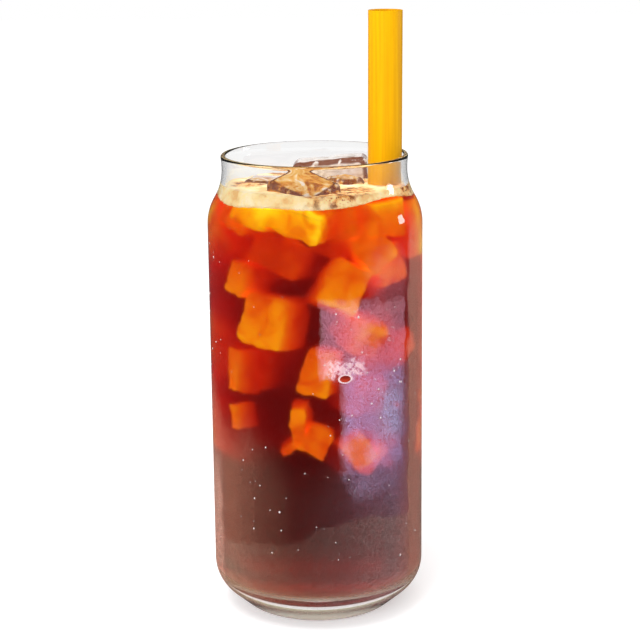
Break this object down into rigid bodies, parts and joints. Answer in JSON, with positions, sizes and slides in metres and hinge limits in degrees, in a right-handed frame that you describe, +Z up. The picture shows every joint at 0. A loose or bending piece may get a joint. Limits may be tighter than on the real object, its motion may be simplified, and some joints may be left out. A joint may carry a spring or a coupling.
{
  "type": "iced americano in a tall glass",
  "caption": "Tall can-shaped glass of iced black coffee with a cream-coloured foam ring, ice cubes that stand out of the surface and a wide straw.",
  "frame": {"origin": "middle of the glass's foot, on the surface it rests on", "axes": "+Z up along the glass's axis, +X to the side the straw stands on, -Y to the front"},
  "size_m": [0.076, 0.076, 0.2144],
  "materials": {
    "clear_glass": "clear, smooth",
    "coffee": "clear red-brown liquid, amber where thin",
    "foam": "fine matt foam",
    "straw": "smooth satin",
    "ice": "wet clear ice, tinted by the coffee"
  },
  "bodies": {
    "root": {"glass": "clear_glass", "coffee": "coffee", "foam": "foam", "straw": "straw", "ice_peak": "ice", "ice_rear": "ice", "ice_left": "ice", "ice_right": "ice"}
  },
  "joints": []
}
